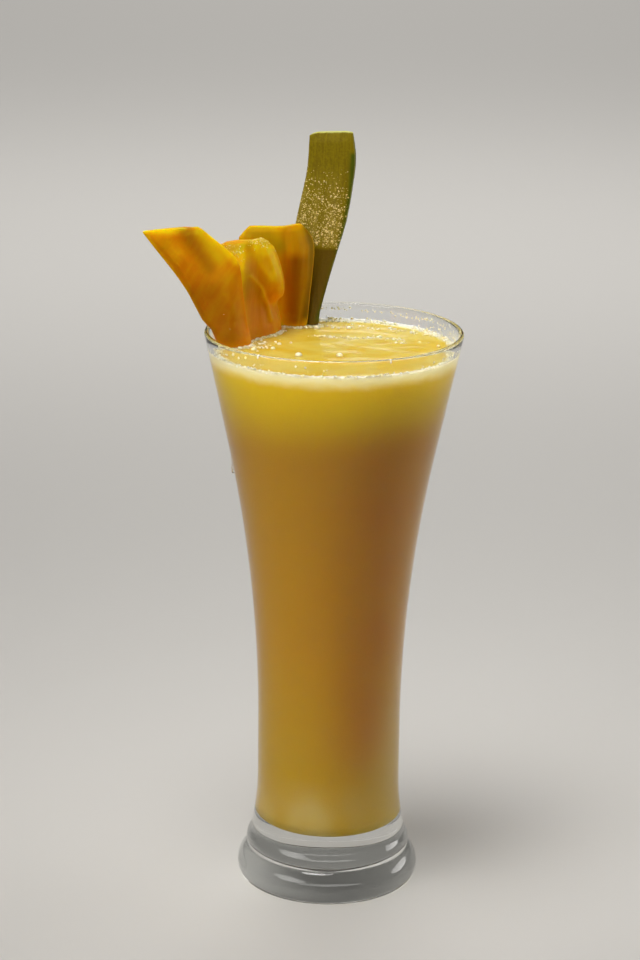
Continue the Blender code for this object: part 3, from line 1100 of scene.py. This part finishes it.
@dataclass
class MangoJuice:
    """The juice in the glass, with the froth ring that clings to the wall.

    Froth fades in over two distances: the ring's from the wall, and the coast's from a slice. A drift is
    how thick a line of loose froth is, and the line that it follows on the surface.
    """

    glass: FlaredGlass
    finish: ThickJuice
    level: float = 182.8
    into_wall: float = 0.12
    meniscus: float = 0.9
    meniscus_width: float = 1.0
    climb: float = 0.6
    climb_width: float = 0.8
    ripple: float = 0.07
    roughness: float = 0.15
    rough_edge: Pair = (4.0, 0.5)
    ring: Pair = (2.6, 0.8)
    coast: Pair = (1.6, 0.5)
    drifts: tuple[tuple[float, Stroke], ...] = (
        (1.0, Stroke(((-6.3, 17.0), (6.0, 14.3), (15.0, 16.0), (22.0, 13.5)), 1.3)),
        (0.7, Stroke(((-24.0, 1.0), (-22.5, 8.0)), 2.6)),
        (0.6, Stroke(((17.9, 8.4), (31.3, 9.1)), 0.5)),
        (0.45, Stroke(((-7.0, 29.0), (6.0, 30.5), (20.0, 28.0), (30.0, 21.0)), 2.2)),
    )
    steps: int = 240

    def profile(self) -> Profile:
        """Half section from the middle of the surface, up the meniscus, and down the wall to the bottom.

        Returns:
            The points, as (radius, height).
        """
        edge = self.glass.inner_radius(self.level) + self.into_wall
        top = []
        for radius in np.linspace(0.0, edge, 90):
            climb = self.meniscus * math.exp(-(edge - radius) / self.meniscus_width)
            top.append((float(radius), self.level + climb))
        low = self.glass.bowl_bottom - self.into_wall
        wall = self.glass.bowl_line(self.glass.bowl_bottom, self.level)
        return top + [(r + self.into_wall, z) for r, z in wall[::-1]][:-1] + [(0.0, low)]

    def build(self, tree: NodeTree, slices: list[Object]) -> Object:
        """Turns the juice, lets it climb the slices a little, and marks its froth.

        Args:
            tree: The Geometry Nodes tree that turns a half section.
            slices: The pieces that stand in the juice.

        Returns:
            The juice.
        """
        values = {"Steps": self.steps, "Finish": self.finish.material()}
        piece = grow("mango_juice", profile_mesh(self.profile()), tree, values)
        mesh = piece.data
        outward(mesh)
        points, normals = get_points(mesh), get_normals(mesh)
        top = fade(normals[:, 2], 0.3, 0.8)
        top *= fade(points[:, 2], (self.level - 2) * MM, (self.level - 1) * MM)
        shore = self.distance_to(points, top, slices) / MM
        edge = self.glass.inner_radius(self.level) - np.hypot(points[:, 0], points[:, 1]) / MM
        patchy = cloud(points, 0.004, 1.0)
        lift = self.climb * np.exp(-shore / self.climb_width) + self.ripple * cloud(points, 0.005, 6.0)
        lift += self.roughness * cloud(points, 0.0016, 4.0) * fade(edge, *self.rough_edge)
        points[:, 2] += lift * MM * top
        set_points(mesh, points)
        paint(mesh, "top", top)
        ring = fade(edge + 0.6 * patchy, *self.ring)
        coast = fade(shore + 0.3 * patchy, *self.coast)
        trails = self.trails(points)
        paint(mesh, "froth", (np.maximum(ring, coast) + 0.35 * trails) * top)
        thinned = 0.55 + 0.9 * cloud(points, 0.0025, 8.0)
        paint(mesh, "amount", (np.maximum(ring * 0.8 * thinned, coast) + 0.8 * trails * thinned) * top)
        # Pale pulp, and a painted highlight up the right side.
        paint(mesh, "pulp", self.pulp(points))
        # Painted shade: a deeper orange down the front right.
        paint(mesh, "deep", self.painted_shade_right(points))
        return piece

    def trails(self, points: np.ndarray) -> np.ndarray:
        """Where loose froth drifts on the surface, from 0 to 1.

        Args:
            points: The points, in metres.

        Returns:
            One number for each point.
        """
        flat = points[:, (0, 2, 1)]
        return np.clip(sum(part * line.weight(flat) for part, line in self.drifts), 0.0, 1.0)

    def painted_shade_right(self, points: np.ndarray) -> np.ndarray:
        """Where shade is painted in as a deeper orange: a broad soft streak down the juice's front right.

        Args:
            points: The points, in metres.

        Returns:
            One number for each point, from 0 to 1.
        """
        height = fade(points[:, 2], 0.174, 0.150) * fade(points[:, 2], 0.028, 0.060)
        return sector(points, -0.95, 0.62) * height * (0.72 + 0.25 * cloud(points, 0.016, 21.0))

    def pulp(self, points: np.ndarray) -> np.ndarray:
        """Where pale pulp has settled, low down at the front left, and where a highlight is painted as a
        pale trace up the right side.

        Args:
            points: The points, in metres.

        Returns:
            One number for each point, from 0 to 1.
        """
        clouds = 0.6 + 0.8 * cloud(points, 0.009, 12.0)
        left = sector(points, -1.95, 0.75) * fade(points[:, 2], 0.042, 0.030)
        # Painted highlight: a pale strip up the right side.
        right = sector(points, -0.45, 0.45) * fade(points[:, 2], 0.090, 0.045)
        return np.clip(left * clouds * 0.75 + right * 0.35, 0.0, 1.0)

    def distance_to(self, points: np.ndarray, top: np.ndarray, slices: list[Object]) -> np.ndarray:
        """Distance from each point of the surface to the nearest slice, and a large number elsewhere.

        Args:
            points: The juice's points, in metres.
            top: How far each point belongs to the surface.
            slices: The pieces that stand in the juice.

        Returns:
            The distances, in metres.
        """
        far = np.full(len(points), 0.05)
        for other in slices:
            other.data.calc_loop_triangles()
            tree = BVHTree.FromPolygons(
                [v.co for v in other.data.vertices], [t.vertices for t in other.data.loop_triangles])
            for i in np.flatnonzero(top > 0.01):
                found = tree.find_nearest(Vector(points[i]), 0.006)
                if found[3] is not None:
                    far[i] = min(far[i], found[3])
        return far


@dataclass(frozen=True)
class Bead:
    """A single bubble or drop: its centre, its radius, and the way that it is flattened."""

    place: Point
    radius: float
    facing: Point = (0.0, 0.0, 1.0)


def set_beads(name: str, beads: list[Bead], tree: NodeTree, flatness: float, finish: Finish) -> Object:
    """Makes one piece of single beads.

    Args:
        name: The new piece's name.
        beads: The beads.
        tree: The Geometry Nodes tree that sets beads on points.
        flatness: A bead's thickness for its width.
        finish: The beads' finish.

    Returns:
        The beads, as one piece.
    """
    mesh = bpy.data.meshes.new("beads")
    mesh.from_pydata([tuple(value * MM for value in bead.place) for bead in beads], [], [])
    radius = mesh.attributes.new("radius", "FLOAT", "POINT")
    facing = mesh.attributes.new("facing", "FLOAT_VECTOR", "POINT")
    for i, bead in enumerate(beads):
        radius.data[i].value = bead.radius * MM
        facing.data[i].vector = bead.facing
    return grow(name, mesh, tree, {"Flatness": flatness, "Finish": finish.material()})


@dataclass
class Froth:
    """Bubbles on the juice, and what the froth has left on the glass above it.

    A large bubble is (x, y, radius). On the wall, a point of the line of traces is (angle, height), and a
    spot is (angle, height, radius). The wall's own angles and heights are the part that traces lie on.
    """

    glass: FlaredGlass
    level: float = 182.9
    finish: FrothBubble = FrothBubble()
    trace_finish: FrothBubble = FrothBubble("dried froth", (0.94, 0.88, 0.68), (0.92, 0.80, 0.48))
    wall_angles: Pair = (-190.0, 150.0)
    wall_heights: Pair = (183.6, 187.9)
    fine: Scatter = Scatter(0.36, 0.16, 0.58, 4)
    traced: Scatter = Scatter(0.3, 0.1, 0.42, 9, flatness=0.4)
    large: tuple[Point, ...] = (
        (-11.3, -10.2, 1.15), (1.8, -10.2, 1.15), (-5.8, 27.7, 1.0), (4.8, 28.3, 0.9), (-25.8, -3.3, 0.9),
        (-19.7, -1.6, 0.75), (-17.8, 4.6, 0.7), (-4.7, 15.9, 0.6), (15.1, 16.4, 0.6), (21.3, 13.7, 0.6),
        (26.5, 25.3, 0.55), (30.1, 22.2, 0.6), (33.9, 4.4, 0.6), (-22.5, 7.0, 0.5), (-14.0, 6.5, 0.45),
    )
    line: tuple[Pair, ...] = (
        (-5.0, 184.6), (14.0, 185.0), (22.0, 186.0), (35.0, 187.0), (49.0, 186.0), (57.0, 186.6),
        (72.0, 186.5), (95.0, 186.8), (125.0, 186.6),
    )
    spots: tuple[Point, ...] = (
        (-150.7, 186.3, 0.45), (-146.0, 186.0, 0.3), (-141.1, 186.7, 0.55), (-137.5, 186.2, 0.4),
        (-132.9, 186.8, 0.45), (-107.1, 186.4, 0.35), (-120.4, 184.0, 0.4), (-128.0, 185.2, 0.25),
    )

    def bubbles(self, tree: NodeTree, juice: Object) -> Object:
        """Scatters fine bubbles over the froth on the juice and returns them."""
        return self.fine.over("fine_froth", juice.data.copy(), tree, self.finish)

    def large_bubbles(self, tree: NodeTree) -> Object:
        """Sets the few large bubbles on the juice and returns them."""
        beads = [Bead((x, y, self.level + radius * 0.1), radius) for x, y, radius in self.large]
        return set_beads("large_bubbles", beads, tree, 0.72, self.finish)

    def residue(self, tree: NodeTree) -> Object:
        """Scatters the traces of froth on the inner wall above the juice and returns them.

        Args:
            tree: The Geometry Nodes tree that scatters beads.

        Returns:
            The traces.
        """
        mesh = bpy.data.meshes.new("inner wall")
        angles = np.radians(np.linspace(*self.wall_angles, 341))
        heights = np.linspace(*self.wall_heights, 18)
        points = []
        for z in heights:
            radius = self.glass.inner_radius(z) - 0.02
            points += [(radius * math.cos(a) * MM, radius * math.sin(a) * MM, z * MM) for a in angles]
        wide = len(angles)
        faces = [(r * wide + c + 1, r * wide + c, (r + 1) * wide + c, (r + 1) * wide + c + 1)
                 for r in range(len(heights) - 1) for c in range(wide - 1)]
        mesh.from_pydata(points, [], faces)
        paint(mesh, "amount", self.traces(np.array(points), np.tile(np.degrees(angles), len(heights))))
        return self.traced.over("froth_traces", mesh, tree, self.trace_finish)

    def traces(self, points: np.ndarray, angle: np.ndarray) -> np.ndarray:
        """How thickly traces lie on the wall: in a dried line, in loose patches, and close to the juice.

        Args:
            points: Points of the wall, in metres.
            angle: Each point's angle, in degrees.

        Returns:
            One number for each point.
        """
        height = points[:, 2] / MM
        wave = np.interp(angle, *zip(*self.line), left=185.2) + 0.35 * cloud(points, 0.006, 15.0)
        line = np.exp(-((height - wave) / 0.28) ** 2) * fade(angle, -60, -10)
        patchy = np.clip(cloud(points, 0.003, 18.0) * 1.6, 0.0, 1.0)
        back, low = fade(angle, -20, 20), fade(height, 184.6, 183.6)
        return line * 0.9 + patchy * (0.10 + 0.25 * back) + low * 0.5

    def drips(self, tree: NodeTree) -> Object:
        """Sets the larger spots of froth on the inner wall at the front and returns them.

        Args:
            tree: The Geometry Nodes tree that sets beads on points.

        Returns:
            The spots.
        """
        beads = []
        for angle, z, radius in self.spots:
            out = Vector((math.cos(math.radians(angle)), math.sin(math.radians(angle)), 0.0))
            place = out * (self.glass.inner_radius(z) - 0.1) + Vector((0, 0, z))
            beads.append(Bead(tuple(place), radius, tuple(out)))
        return set_beads("froth_spots", beads, tree, 0.4, self.finish)


@dataclass
class Drops:
    """Clear drops: one that runs down the outside of the glass, and a few on the front slice.

    A drop on the glass is (height, radius), and a drop on the slice is (x, z, radius).
    """

    glass: FlaredGlass
    finish: ClearGlass = ClearGlass("clear drops", (1.0, 0.99, 0.93), 0.02, 1.33)
    outside: tuple[Pair, ...] = (
        (141.2, 0.95), (142.3, 0.8), (143.4, 0.5), (144.6, 0.38), (145.8, 0.3),
    )
    on_slice: tuple[Point, ...] = (
        (-35.5, 194.0, 0.45), (-33.6, 189.6, 0.45), (-35.2, 187.2, 0.4), (-44.5, 205.0, 0.25),
        (-50.5, 210.5, 0.25),
    )

    def build(self, tree: NodeTree, slice_piece: Object) -> Object:
        """Sets the drops and returns them.

        Args:
            tree: The Geometry Nodes tree that sets beads on points.
            slice_piece: The front slice, which some drops lie on.

        Returns:
            The drops.
        """
        beads = []
        for z, radius in self.outside:
            side = -self.glass.outer_radius(z) - radius * 0.2
            beads.append(Bead((side, 0.0, z), radius, (-1.0, 0.0, 0.0)))
        faces = BVHTree.FromPolygons(
            [v.co for v in slice_piece.data.vertices], [p.vertices for p in slice_piece.data.polygons])
        for x, z, radius in self.on_slice:
            place, normal = faces.ray_cast(Vector((x * MM, -0.1, z * MM)), Vector((0, 1, 0)))[:2]
            if place is not None:
                beads.append(Bead(tuple(place / MM), radius, tuple(normal)))
        return set_beads("clear_drops", beads, tree, 0.7, self.finish)


@dataclass(frozen=True)
class Lamp:
    """A soft lamp, turned to a target: lengths in metres, power in watts, and its beam in degrees."""

    name: str
    place: Point
    size: Pair
    power: float
    target: Point = (0.0, 0.0, 0.14)
    spread: float = 180.0


@dataclass
class Studio:
    """A plain pale floor, soft lamps and the camera, placed as the photograph was taken."""

    floor_color: Color = (0.62, 0.61, 0.59)
    floor_size: float = 14.0
    room_color: Color = (1.0, 0.97, 0.93)
    room_strength: float = 0.09
    lamp_color: Color = (1.0, 0.98, 0.95)
    lamps: tuple[Lamp, ...] = (
        Lamp("key", (-0.76, -0.60, 0.58), (0.9, 0.34), 0.63, spread=75.0),
        Lamp("right", (0.80, 0.30, 0.26), (0.6, 0.26), 0.34, spread=75.0),
        Lamp("top", (-0.10, -0.12, 0.78), (0.34, 0.34), 0.42, (0.0, 0.0, 0.2), 60.0),
        Lamp("glint", (0.03, 1.3, 0.455), (0.10, 0.05), 0.013),
        Lamp("front", (0.1, -1.7, 0.80), (3.0, 0.30), 7.0),
        Lamp("behind", (0.0, 0.9, 1.1), (1.6, 1.0), 3.0, (0.0, 0.95, 0.0), 90.0),
        Lamp("back", (0.0, 2.6, 2.0), (2.4, 2.4), 36.0, (0.0, 2.7, 0.0)),
    )
    lens: float = 108.75
    place: Point = (-1.68, -911.5, 406.7)
    yaw: float = -0.145
    pitch: float = 16.402
    roll: float = 0.721

    def build(self) -> None:
        """Makes the floor, the lamps, the room light and the camera."""
        self.floor()
        self.room()
        for lamp in self.lamps:
            self.light(lamp)
        self.camera()

    def floor(self) -> None:
        """Lays the floor just under the glass."""
        half = self.floor_size / 2
        mesh = bpy.data.meshes.new("floor")
        corners = [(-half, -half, 0), (half, -half, 0), (half, half, 0), (-half, half, 0)]
        mesh.from_pydata(corners, [], [(0, 1, 2, 3)])
        mesh.materials.append(PlainMatte("pale floor", self.floor_color).material())
        floor = bpy.data.objects.new("floor", mesh)
        bpy.context.scene.collection.objects.link(floor)

    def room(self) -> None:
        """Gives the room an even light."""
        world = bpy.data.worlds.new("room")
        world.use_nodes = True
        background = world.node_tree.nodes["Background"]
        background.inputs["Color"].default_value = (*self.room_color, 1.0)
        background.inputs["Strength"].default_value = self.room_strength
        bpy.context.scene.world = world

    def light(self, lamp: Lamp) -> None:
        """Adds one of the lamps to the scene.

        Args:
            lamp: The lamp.
        """
        light = bpy.data.lights.new(lamp.name, "AREA")
        light.shape = "ELLIPSE"
        light.size, light.size_y = lamp.size
        light.energy = lamp.power
        light.color = self.lamp_color
        light.spread = math.radians(lamp.spread)
        holder = bpy.data.objects.new(lamp.name, light)
        holder.location = lamp.place
        holder.visible_camera = False
        aim = Vector(lamp.target) - Vector(lamp.place)
        holder.rotation_euler = aim.to_track_quat("-Z", "Y").to_euler()
        bpy.context.scene.collection.objects.link(holder)

    def camera(self) -> None:
        """Places the camera at the photograph's angle."""
        data = bpy.data.cameras.new("camera")
        data.lens = self.lens
        data.sensor_width = 36.0
        data.clip_start = 0.01
        camera = bpy.data.objects.new("camera", data)
        turn = Matrix.Rotation(-math.radians(self.yaw), 4, "Z")
        tilt = Matrix.Rotation(math.pi / 2 - math.radians(self.pitch), 4, "X")
        roll = Matrix.Rotation(math.radians(self.roll), 4, "Z")
        camera.matrix_world = Matrix.Translation(Vector(self.place) * MM) @ turn @ tilt @ roll
        bpy.context.scene.collection.objects.link(camera)
        bpy.context.scene.camera = camera


def keep(piece: Object, slot: str, *nodes: str) -> None:
    """Fixes a finished piece to the glass, and hides the nodes that it replaces.

    Args:
        piece: The piece.
        slot: Not used.
        nodes: The CAD nodes that it stands for.
    """
    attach(piece, "root")
    if nodes:
        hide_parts(*nodes)
    log.info("%s: %d faces", piece.name, len(piece.data.polygons))


def main() -> None:
    """Builds the studio, the glass, the garnish and the juice in order."""
    logging.basicConfig(level=logging.INFO, format="%(name)s: %(message)s")
    bpy.context.scene.view_settings.view_transform = "Standard"
    Studio().build()
    tree = turned_tree()
    glass = FlaredGlass(ClearGlass())
    keep(glass.build(tree), "glass", "glass")
    slices = []
    for mango in mango_fan():
        slices.append(mango.build())
        keep(slices[-1], "mango_flesh", mango.which.value)
    slices.append(PeelStrip().build())
    keep(slices[-1], "mango_peel", "mango_peel_strip")
    scatter, placed = scatter_tree(), placed_tree()
    crumbs = WetPulp("crumbs of flesh", (0.95, 0.80, 0.22), (0.86, 0.58, 0.02))
    grains = Scatter(0.2, 0.08, 0.32, 3, density=9000000.0)
    keep(grains.over("flesh_crumbs", slices[1].data.copy(), scatter, crumbs), "mango_flesh")
    specks = WetPulp("wet specks", (0.90, 0.72, 0.28), (0.44, 0.34, 0.04))
    grains = Scatter(0.2, 0.08, 0.32, 5, density=9000000.0)
    keep(grains.over("peel_specks", slices[3].data.copy(), scatter, specks), "mango_peel")
    juice = MangoJuice(glass, ThickJuice()).build(tree, slices)
    keep(juice, "juice", "juice")
    froth = Froth(glass)
    keep(froth.bubbles(scatter, juice), "juice")
    keep(froth.large_bubbles(placed), "juice")
    keep(froth.residue(scatter), "juice")
    keep(froth.drips(placed), "juice")
    keep(Drops(glass).build(placed, slices[0]), "glass")


if __name__ == "__main__":
    main()
